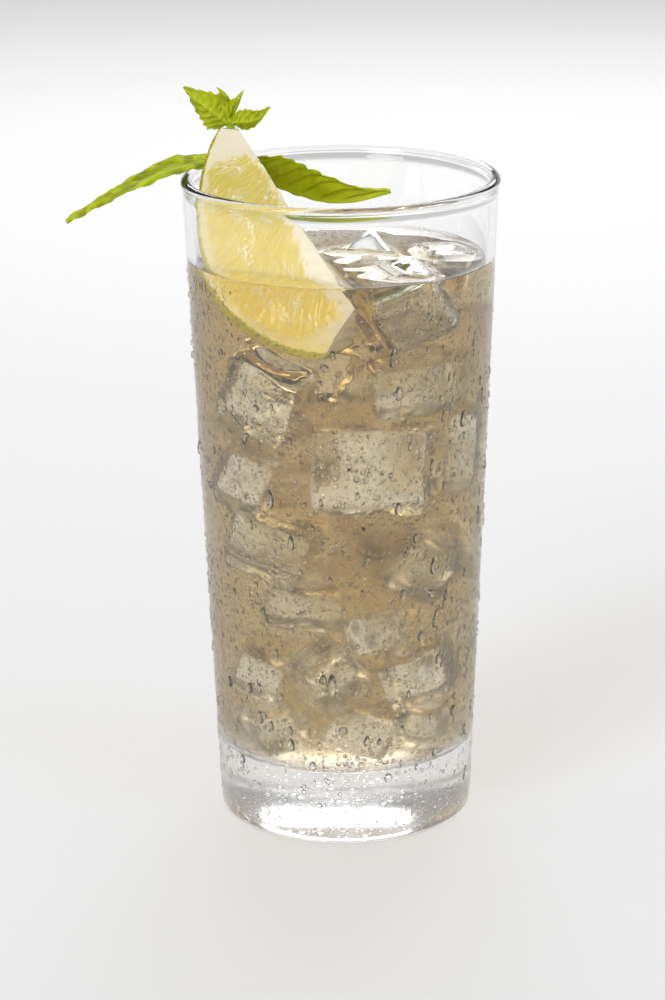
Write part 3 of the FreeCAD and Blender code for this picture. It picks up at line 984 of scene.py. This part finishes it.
def lime_finish():
    """Wet flesh, dry pith and oily peel in one finish, shared out by the mesh's own masks, with a painted
    glow on the flesh under the drink, painted shade in the creases between sacs and painted glints on the
    strands.
    """
    colours = bpy.context.scene.drink_lime
    flesh_colour, pith_colour, peel_colour = tuple(colours.flesh), tuple(colours.pith), tuple(colours.peel)
    f = Finish.named("lime")
    flesh, peel, sacs = f.attribute("flesh"), f.attribute("peel"), f.attribute("sacs")
    level = bpy.context.scene.drink_contents.level
    sunk = f.between(f.height(), level + 0.001, level - 0.001)
    # painted glow: below the drink's level the flesh is painted brighter and yellower
    sunk_glow_flesh = tuple(min(1.0, c * d) for c, d in zip(flesh_colour, (1.12, 1.14, 0.66)))
    flesh_colour = f.mixed(sunk, flesh_colour, sunk_glow_flesh)
    # deep: a deeper, more saturated flesh; in random patches it is the flesh's own tone, in the creases
    # between the sacs it is painted shade
    deep = f.mixed(1.0, flesh_colour, (0.97, 0.94, 0.45), "MULTIPLY")
    green = f.mixed(1.0, flesh_colour, (0.88, 0.99, 0.50), "MULTIPLY")
    # pale: the strands' colour, partly whitish membrane and partly painted glints along the sacs
    pale = f.mixed(0.62, flesh_colour, (1.0, 0.98, 0.86))
    patches = f.between(f.noise(170.0, 3.0, 0.6), 0.35, 0.68)
    sac_colour = f.mixed(patches * 0.7, flesh_colour, deep)
    unripe = f.between(f.noise(45.0, 2.0, 0.5, seed=2.0), 0.46, 0.60)
    sac_colour = f.mixed(unripe * 0.5, sac_colour, green)
    # painted shade: a little darker and deeper yellow in the creases between the sacs
    sac_colour = f.mixed(f.between(sacs, 0.70, 0.25) * 0.5, sac_colour, deep)
    # painted glints: pale strands along the sacs, partly membrane and partly painted highlight
    sac_colour = f.mixed(f.attribute("strands_and_glints") * 0.9, sac_colour, pale)
    pith = f.mixed(f.noise(120.0, 4.0, 0.6) * 0.25, pith_colour, tuple(c * 0.86 for c in pith_colour))
    inside = f.mixed(flesh, pith, sac_colour)
    glands = f.between(f.cells(1150.0), 0.12, 0.42)
    outer = f.mixed(f.between(f.noise(55.0, 3.0, 0.55), 0.35, 0.68), peel_colour, linear(138, 150, 18))
    skin = f.mixed(f.between(peel, 1.9, 1.1), outer, linear(176, 166, 8))
    skin = f.mixed(glands, f.mixed(1.0, skin, (0.45, 0.5, 0.3), "MULTIPLY"), skin)
    colour = f.mixed(f.between(peel, 0.0, 0.55), inside, linear(190, 186, 44))
    colour = f.mixed(f.between(peel, 0.45, 1.0), colour, skin)
    rough = 0.42 - flesh * 0.30
    grain = f.bump(f.noise(1500.0, 2.0) * (1 - flesh * 0.6), 0.00012, 0.35)
    dimples = f.bump(glands * peel, 0.00020, 0.8, grain)
    shader = f.principled(Base_Color=colour, Roughness=rough, IOR=1.3, Subsurface_Weight=0.25,
                          Subsurface_Radius=(0.004, 0.003, 0.0012), Subsurface_Scale=1.0,
                          Coat_Weight=flesh * 0.9, Coat_Roughness=0.06, Normal=dimples)
    return f.done(shader)


class DRINK_OT_lime(bpy.types.Operator):
    """Makes the lime wedge with its juice sacs, pith and peel"""
    bl_idname = "drink.lime"
    bl_label = "Lime wedge"

    def execute(self, context):
        skin, marks = with_cut_end(*lime_grid())
        points = skin.reshape(-1, 3) @ lime_axes() + lime_middle()
        faces = grid_faces(LOOPS + CUT_RINGS, sum(LOOP_STEPS), closed_columns=True)
        mesh = new_mesh("lime_cut", points, [faces], weld=False)
        for name, values in zip(LIME_MARKS, marks):
            set_attribute(mesh, name, values.ravel())
        mesh = face_outward(welded(mesh, 60))
        add_piece("lime_cut", mesh, lime_finish(), ["lime_wedge"])
        return {"FINISHED"}


# ---- mint -------------------------------------------------------------------------------
# rib as base, two control points and tip; width and where along the rib it is widest; roll about the
# rib, its change to the tip and fold of the halves, in degrees; number of teeth and their depth as a
# share of half the width
MINT_LEAVES = {
    "left": (((-23.9, 6.0, 147.6), (-39.0, 4.4, 149.6), (-49.0, 5.5, 140.0), (-60.7, 5.0, 135.1)),
             14.0, 0.38, -7.0, 6.0, 4.0, 10, 0.13),
    "right": (((-23.9, 6.2, 147.2), (-15.0, 10.0, 143.6), (-6.5, 2.2, 135.5), (11.0, 2.0, 141.8)),
              17.0, 0.47, -36.0, 0.0, 30.0, 9, 0.09),
    "top_left": (((-24.3, 2.4, 157.0), (-26.8, 1.6, 159.4), (-29.6, 1.6, 160.8), (-33.9, 3.2, 165.2)),
                 10.8, 0.33, 64.0, 0.0, 12.0, 7, 0.17),
    "top_right": (((-23.6, 2.2, 157.2), (-21.6, 1.2, 158.2), (-18.2, 1.2, 156.4), (-15.4, 3.4, 160.6)),
                  6.4, 0.42, -60.0, 0.0, 14.0, 6, 0.15),
    "tiny_left": (((-24.1, 2.4, 158.2), (-24.6, 1.6, 160.6), (-24.4, 1.0, 163.6), (-26.8, 1.0, 165.4)),
                  2.2, 0.38, 80.0, 0.0, 24.0, 3, 0.0),
    "tiny_right": (((-23.7, 2.6, 158.2), (-23.2, 2.8, 160.6), (-22.4, 3.0, 161.8), (-20.9, 3.0, 164.4)),
                   2.0, 0.38, -80.0, 0.0, 24.0, 3, 0.0),
}
MINT_MARKS = ("rib", "vein", "shade", "under")
STEM_RADIUS = 0.95
STEM_STEPS = (90, 16)
STEM_WEAR = 60
STEM = ((-23.9, 2.6, 159.0), (-23.9, 6.0, 147.6), (-20.5, 10.5, 131.0), (-14.0, 13.5, 113.0))


def bezier(points, t):
    """Places and unit directions on the cubic curve through its two ends."""
    p0, p1, p2, p3 = [np.array(p) for p in points]
    t = t[:, None]
    u = 1 - t
    place = p0 * u ** 3 + p1 * 3 * u * u * t + p2 * 3 * u * t * t + p3 * t ** 3
    way = (p1 - p0) * 3 * u * u + (p2 - p1) * 6 * u * t + (p3 - p2) * 3 * t * t
    return place, way / np.linalg.norm(way, axis=1, keepdims=True)


def leaf_outline(t, width, widest, teeth, depth):
    """Half the blade's width along the rib, and the share of it that the teeth leave.

    Half the width is width/2 * sin(pi t^k)^0.85, with k set by the widest place. The notches are
    a saw whose teeth lean to the tip.
    """
    phase = (t * teeth) % 1.0
    saw = np.where(phase < 0.78, phase / 0.78, (1 - phase) / 0.22)
    skew = math.log(0.5) / math.log(widest)
    half = np.maximum(width / 2 * np.abs(np.sin(np.pi * t ** skew)) ** 0.85, 0.75 * (1 - t) + 0.06)
    return half, 1 - depth * (1 - saw) * smooth_step(0.0, 0.12, t)


def leaf_veins(t, w, half, teeth, seed):
    """The rib's line, the side veins' lines, and how far the blade quilts up between them, 0 to 1.

    The veins leave the rib at a slant and bend towards the tip.
    """
    side = np.abs(w)
    fan = (t - 0.34 * side ** 1.3 * (1 - 0.35 * t)) * teeth * 0.85
    fan = fan + 0.12 * np.sin(9 * t + 2.5 * w + seed)
    vein = np.abs((fan % 1.0) - 0.5) * 2
    lines = smooth_step(0.80, 1.0, vein) * smooth_step(0.02, 0.10, side) * smooth_step(1.0, 0.9, side)
    quilt = (1 - vein ** 2) * smooth_step(0.0, 0.25, side) * smooth_step(1.0, 0.75, side)
    return np.exp(-(side * half / 0.42) ** 2), lines, quilt


def leaf_surface(rib, width, widest, roll, twist, fold, teeth, depth, seed):
    """A blade on a grid: t along the rib and w across it, -1 and 1 at its margins.

    The halves fold up about the rib, the blade quilts up between its sunken veins, and slow noise
    crinkles it and sways its margins. Returns the points, the way up from the blade, its marks
    and how far out each point lies.
    """
    rows, columns = 50 + int(6 * width), 21 + 2 * int(width)
    t, w = np.linspace(0, 1, rows)[:, None], np.linspace(-1, 1, columns)[None, :]
    side = np.abs(w)
    place, way = bezier(rib, t[:, 0])
    level = np.cross(way, (0.0, 0.0, 1.0))
    level /= np.linalg.norm(level, axis=1, keepdims=True)
    angle = np.radians(roll + twist * t)
    across = level * np.cos(angle) + np.cross(way, level) * np.sin(angle)
    up = np.cross(across, way)
    half, notch = leaf_outline(t, width, widest, teeth, depth)
    reach = half * (1 + (notch - 1) * side ** 6)
    rib_line, vein_lines, quilt = leaf_veins(t, w, half, teeth, seed)
    flat = np.stack(np.broadcast_arrays(t * 40, w * half, seed), -1).reshape(-1, 3)
    crinkle = value_noise(flat, 2.2, 30 + seed).reshape(rows, columns)
    sway = value_noise(flat, 6.0, 60 + seed).reshape(rows, columns) * side ** 2
    scale = min(width / 14.0, 1.0)
    rise = scale * (0.66 * quilt - 0.36 * rib_line + 0.32 * crinkle + 0.35 * sway)
    lift = reach * math.sin(math.radians(fold)) * side + rise
    spread = reach * math.cos(math.radians(fold)) * w
    points = place[:, None] + across[:, None] * spread[..., None] + up[:, None] * lift[..., None]
    # painted shade: where this is low, in the crinkle's hollows, the finish paints the blade darker
    shade = np.clip(0.5 + 0.5 * crinkle, 0, 1)
    return points, up, (rib_line, vein_lines, shade), side + 0 * t


def leaf_shell(spec, seed, thickness):
    """The blade as a closed shell: its upper sheet, its lower sheet and the margin between them."""
    points, up, marks, side = leaf_surface(*spec, seed)
    rows, columns = side.shape
    half = thickness / 2 * (1 - 0.6 * side ** 4)
    normal = up[:, None, :] * half[..., None]
    loop = np.concatenate([points + normal, (points - normal)[:, ::-1]], 1)
    start = np.repeat(loop[:1].mean(1, keepdims=True), loop.shape[1], 1)
    end = np.repeat(loop[-1:].mean(1, keepdims=True), loop.shape[1], 1)
    loop = np.concatenate([start, loop, end])
    marks = [np.concatenate([mark, mark[:, ::-1]], 1) for mark in marks]
    marks.append(np.concatenate([np.zeros_like(side), np.ones_like(side)], 1))
    marks = [np.concatenate([mark[:1], mark, mark[-1:]]).ravel() for mark in marks]
    return loop.reshape(-1, 3), grid_faces(rows + 2, 2 * columns, closed_columns=True), marks


def stem_path(rows):
    """Even places down the stem: straight runs whose corners are worn round by averaging neighbours."""
    corners = np.array(STEM)
    reach = np.concatenate([[0], np.cumsum(np.linalg.norm(np.diff(corners, axis=0), axis=1))])
    even = np.linspace(0, reach[-1], rows)
    place = np.stack([np.interp(even, reach, corners[:, axis]) for axis in range(3)], 1)
    for _ in range(STEM_WEAR):
        place[1:-1] = (place[:-2] + place[2:]) / 2
    way = np.gradient(place, axis=0)
    return place, way / np.linalg.norm(way, axis=1, keepdims=True)


def stem_shell():
    """A square stem with rounded corners carried along its path, its ends closed."""
    rows, around = STEM_STEPS
    place, way = stem_path(rows)
    side = np.cross(way, (0.0, 1.0, 0.0))
    side /= np.linalg.norm(side, axis=1, keepdims=True)
    other = np.cross(way, side)
    angle = np.linspace(0, 2 * math.pi, around, endpoint=False)
    square = 1 / (np.abs(np.cos(angle)) ** 3 + np.abs(np.sin(angle)) ** 3) ** (1 / 3)
    radius = STEM_RADIUS * np.sqrt(np.clip(np.minimum(np.arange(rows), np.arange(rows)[::-1]) / 1.5, 0, 1))
    ring = radius[:, None] * square[None, :]
    points = (place[:, None] + side[:, None] * (ring * np.cos(angle))[..., None]
              + other[:, None] * (ring * np.sin(angle))[..., None])
    plain = np.zeros(rows * around)
    faces = grid_faces(rows, around, closed_columns=True)
    return points.reshape(-1, 3), faces, [plain, plain, plain + 0.5, plain]


def mint_finish():
    """Fresh leaf: painted shade in its sunken veins and in the hollows of its crinkle, paler on its rib and
    below, with light in the blade.
    """
    leaf = tuple(bpy.context.scene.drink_mint.leaf)
    f = Finish.named("mint")
    rib, vein, shade, under = [f.attribute(name) for name in MINT_MARKS]
    # deep: the dark green of the painted shade
    deep = tuple(c * d for c, d in zip(leaf, (0.52, 0.50, 0.12)))
    bright = tuple(min(1.0, c * d) for c, d in zip(leaf, (1.50, 1.45, 5.0)))
    blade = f.mixed(f.between(f.noise(260.0, 3.0, 0.6), 0.40, 0.68) * 0.8, leaf, bright)
    # painted shade in the hollows of the crinkle
    blade = f.mixed(f.between(shade, 0.60, 0.20) * 0.8, blade, deep)
    # painted shade along the sunken veins
    blade = f.mixed(vein * 0.85, blade, deep)
    blade = f.mixed(rib * 0.7, blade, bright)
    colour = f.mixed(under * 0.5, blade, tuple(c * d for c, d in zip(leaf, (1.05, 1.0, 1.4))))
    fine = f.bump(f.noise(1300.0, 3.0, 0.6), 0.00015, 0.45)
    shader = f.principled(Base_Color=colour, Roughness=0.42, IOR=1.35, Normal=fine)
    glow = f.node("ShaderNodeBsdfTranslucent", None, {"Color": (0.56, 0.64, 0.03, 1.0)})
    both = f.node("ShaderNodeMixShader", None, {0: 0.25, 1: shader, 2: glow})
    return f.done(both)


class DRINK_OT_mint(bpy.types.Operator):
    """Makes the mint sprig: toothed, veined leaves on a square stem"""
    bl_idname = "drink.mint"
    bl_label = "Mint sprig"

    def execute(self, context):
        thickness = context.scene.drink_mint.thickness / MM
        shells = [leaf_shell(spec, number, thickness) for number, spec in enumerate(MINT_LEAVES.values())]
        shells.append(stem_shell())
        points, faces = joined([(shell[0], shell[1]) for shell in shells])
        mesh = new_mesh("mint_leaves", points, [faces], weld=False)
        for number, name in enumerate(MINT_MARKS):
            set_attribute(mesh, name, np.concatenate([shell[2][number] for shell in shells]))
        mesh = face_outward(welded(mesh))
        add_piece("mint_leaves", mesh, mint_finish(), ["mint_sprig"])
        return {"FINISHED"}


# ---- dew --------------------------------------------------------------------------------
DROP_SINKS = 0.08


def drops_on_wall(z, angle, radii, tall, rise, rings, around):
    """Flattened domes that sit on the outer wall, each with its base just inside the glass.

    A drop is a half ball scaled to its radius, stretched by tall along the wall and by rise
    outwards, fuller at its lower end.
    """
    up = np.linspace(0, math.pi / 2, rings + 1)
    turn = np.linspace(0, 2 * math.pi, around, endpoint=False)
    ring = np.concatenate([[0.0], np.cos(up)[:-1], [0.0]])
    out = np.concatenate([[-0.25], np.sin(up)[:-1], [1.0]])
    u = ring[:, None] * np.cos(turn)
    v = ring[:, None] * np.sin(turn)
    out = out[:, None] + 0 * turn
    z, angle, radii, tall = [values[:, None, None] for values in (z, angle, radii, tall)]
    height = z + v[None] * radii * tall
    bulge = 1 - 0.35 * v[None] * np.minimum(tall - 1, 1)
    base = wall_radius(height)
    r = base + np.where(out[None] < 0, -DROP_SINKS, out[None] * radii * rise * bulge)
    angle = angle + u[None] * radii * bulge / base
    points = np.stack([r * np.cos(angle), r * np.sin(angle), height], -1)
    faces = grid_faces(rings + 2, around, closed_columns=True)
    shift = np.arange(len(z))[:, None, None] * (rings + 2) * around
    return points.reshape(-1, 3), (faces[None] + shift).reshape(-1, 4)


def dew_places(count, seed, lowest, highest):
    """Random heights and angles on the cold wall, thinned in patches and in front of the lime."""
    random = np.random.default_rng(seed)
    z = random.uniform(lowest, highest, count * 2)
    angle = random.uniform(0, 2 * math.pi, count * 2)
    place = np.stack([30 * np.cos(angle), 30 * np.sin(angle), z], 1)
    chance = 0.55 + 0.45 * value_noise(place, 14.0, seed + 1)
    from_lime = np.linalg.norm((place - lime_front()) * (1, 0.6, 1.2), axis=1)
    chance *= 0.15 + 0.85 * smooth_step(10.0, 17.0, from_lime)
    keep = np.flatnonzero(random.random(count * 2) < chance)[:count]
    return z[keep], angle[keep], random


def dew_finish():
    """Clear water."""
    f = Finish.named("dew")
    shader = f.principled(Base_Color=WHITE, Roughness=0.0, IOR=1.33, Transmission_Weight=1.0)
    return f.done(f.lets_lamps_through(shader, (0.99, 0.99, 0.99)))


def add_drops(name, finish, z, angle, size, tall, rise, rings, around):
    """Adds one piece of many drops."""
    points, faces = drops_on_wall(z, angle, size, tall, rise, rings, around)
    mesh = face_outward(new_mesh(name, points, [faces]))
    add_piece(name, mesh, finish, ())


class DRINK_OT_dew(bpy.types.Operator):
    """Makes the condensation: fine and large drops on the cold wall"""
    bl_idname = "drink.dew"
    bl_label = "Dew"

    def execute(self, context):
        settings = context.scene.drink_dew
        level = context.scene.drink_contents.level / MM
        finish = dew_finish()
        z, angle, random = dew_places(settings.fine, 11, 3.0, level - 1.0)
        size = 0.13 + 0.30 * random.random(len(z)) ** 2.4
        tall = 1 + 0.8 * random.random(len(z))
        add_drops("fine_dew", finish, z, angle, size, tall, 0.65, 2, 6)
        z, angle, random = dew_places(settings.large, 14, 6.0, level - 5.0)
        size = 0.45 + 0.65 * random.random(len(z)) ** 3
        tall = 1 + 1.5 * random.random(len(z)) ** 2
        add_drops("large_dew", finish, z, angle, size, tall, 0.58, 6, 14)
        return {"FINISHED"}


# ---- stage ------------------------------------------------------------------------------
FLOOR_HALF = 4000.0
FLOOR_LIFT = 0.25
BACKDROP = 0.82
# height of the direction's unit vector, and the light's colour there
SKY = [(0.11, (1.0, 1.0, 1.01)), (0.24, (0.20, 0.20, 0.202)), (0.66, (0.20, 0.20, 0.202)),
       (0.86, (0.90, 0.90, 0.909))]
# power as a share of the key's, size across and down, and place, in metres
LAMPS = {
    "key": (1.0, (0.90, 1.08), (-0.96, -1.28, 0.96)),
    "fill": (1.08, (1.7, 1.7), (2.40, -1.65, 1.10)),
    "back": (0.30, (0.95, 0.52), (0.08, 0.90, 0.62)),
}
LAMP_TARGET = Vector((0.0, 0.0, 0.08))
CAMERA_TARGET = Vector((0.0, 0.0, 0.06806))
CAMERA_DISTANCE = 0.7972
CAMERA_LIFT = math.radians(17.35)
CAMERA_ROLL = math.radians(0.514)
CAMERA_LENS = 127.62
CAMERA_SHIFT = (-0.01103, 0.0156)


def floor_finish():
    """Pale paper that shows a little lighter to the camera and in glass than it lights the drink."""
    f = Finish.named("pale_floor")
    tone = tuple(bpy.context.scene.drink_stage.floor)
    paper = f.mixed(f.noise(40.0, 4.0, 0.6) * 0.5, tone, tuple(c * 0.985 for c in tone))
    shader = f.principled(Base_Color=paper, Roughness=0.75, Specular_IOR_Level=0.2)
    seen = 0.0
    for ray in ("Is Camera Ray", "Is Glossy Ray", "Is Transmission Ray"):
        seen = f.greatest(f.node("ShaderNodeLightPath", output=ray), seen)
    white = f.node("ShaderNodeEmission", None, {"Color": (1.0, 1.0, 1.0, 1.0), "Strength": 1.0})
    return f.done(f.node("ShaderNodeMixShader", None, {0: seen * FLOOR_LIFT, 1: shader, 2: white}))


def add_lamp(name, power, size, place):
    """A soft oval lamp that points at the drink."""
    lamp = bpy.data.lights.new(name, "AREA")
    lamp.energy = power
    lamp.shape = "ELLIPSE"
    lamp.size, lamp.size_y = size
    holder = bpy.data.objects.new(name, lamp)
    bpy.context.scene.collection.objects.link(holder)
    holder.location = place
    holder.rotation_euler = (LAMP_TARGET - Vector(place)).to_track_quat("-Z", "Y").to_euler()


def make_world():
    """Soft studio light: white near the horizon, grey above it, pale overhead, dimmer at the sides.

    The camera itself sees a plain pale backdrop.
    """
    world = bpy.data.worlds.new("studio")
    bpy.context.scene.world = world
    f = Finish(world, "Generated")
    across = f.node("ShaderNodeSeparateXYZ", None, {0: f.place}, "X")
    colour = f.node("ShaderNodeValToRGB", {"stops": SKY}, {0: f.height()})
    strength = 1 - f.between(across * across, 0.30, 0.85) * 0.45
    light = f.node("ShaderNodeBackground", None, {"Color": colour, "Strength": strength})
    backdrop = f.node("ShaderNodeBackground", None, {"Color": (BACKDROP, BACKDROP, BACKDROP, 1.0)})
    seen = f.node("ShaderNodeLightPath", output="Is Camera Ray")
    f.done(f.node("ShaderNodeMixShader", None, {0: seen, 1: light, 2: backdrop}),
           output_kind="ShaderNodeOutputWorld")


def add_camera():
    """A long lens from a little above, turned slightly about its own axis."""
    camera = bpy.data.objects.new("camera", bpy.data.cameras.new("camera"))
    bpy.context.scene.collection.objects.link(camera)
    away = Vector((0.0, -math.cos(CAMERA_LIFT), math.sin(CAMERA_LIFT)))
    camera.location = CAMERA_TARGET + away * CAMERA_DISTANCE
    aim = (-away).to_track_quat("-Z", "Y").to_matrix() @ Matrix.Rotation(-CAMERA_ROLL, 3, "Z")
    camera.rotation_euler = aim.to_euler()
    camera.data.lens = CAMERA_LENS
    camera.data.sensor_width = 36.0
    camera.data.shift_x, camera.data.shift_y = CAMERA_SHIFT
    camera.data.clip_start = 0.01
    bpy.context.scene.camera = camera


class DRINK_OT_stage(bpy.types.Operator):
    """Makes the floor, the studio light and the camera"""
    bl_idname = "drink.stage"
    bl_label = "Stage"

    def execute(self, context):
        scene = context.scene
        corners = np.array([(-1, -1, 0), (1, -1, 0), (1, 1, 0), (-1, 1, 0)]) * FLOOR_HALF
        floor = bpy.data.objects.new("floor", new_mesh("floor", corners, [np.array([[0, 1, 2, 3]])]))
        scene.collection.objects.link(floor)
        floor.data.materials.append(floor_finish())
        for name, (share, size, place) in LAMPS.items():
            add_lamp(name, scene.drink_stage.key * share, size, place)
        make_world()
        add_camera()
        scene.view_settings.view_transform = "Standard"
        scene.cycles.max_bounces = 40
        scene.cycles.transmission_bounces = 40
        scene.cycles.transparent_max_bounces = 64
        return {"FINISHED"}


# ---- panel ------------------------------------------------------------------------------
GROUPS = {
    "drink_glass": GlassSettings,
    "drink_contents": DrinkSettings,
    "drink_ice": IceSettings,
    "drink_lime": LimeSettings,
    "drink_mint": MintSettings,
    "drink_dew": DewSettings,
    "drink_stage": StageSettings,
}
OPERATORS = [DRINK_OT_stage, DRINK_OT_glass, DRINK_OT_ice, DRINK_OT_drink, DRINK_OT_lime, DRINK_OT_mint,
             DRINK_OT_dew]


class DRINK_PT_panel(bpy.types.Panel):
    """Lists the drink's settings and pieces"""
    bl_label = "Tall iced drink"
    bl_space_type = "VIEW_3D"
    bl_region_type = "UI"
    bl_category = "Drink"

    def draw(self, context):
        for name, group in GROUPS.items():
            box = self.layout.box()
            for key in group.__annotations__:
                box.prop(getattr(context.scene, name), key)
        for operator in OPERATORS:
            self.layout.operator(operator.bl_idname)


def register():
    for cls in [*GROUPS.values(), *OPERATORS, DRINK_PT_panel]:
        bpy.utils.register_class(cls)
    for name, group in GROUPS.items():
        setattr(bpy.types.Scene, name, PointerProperty(type=group))


def unregister():
    for name in GROUPS:
        delattr(bpy.types.Scene, name)
    for cls in reversed([*GROUPS.values(), *OPERATORS, DRINK_PT_panel]):
        bpy.utils.unregister_class(cls)


def main():
    register()
    bpy.ops.drink.stage()
    bpy.ops.drink.glass()
    bpy.ops.drink.ice()
    bpy.ops.drink.drink()
    bpy.ops.drink.lime()
    bpy.ops.drink.mint()
    bpy.ops.drink.dew()


if __name__ == "__main__":
    main()
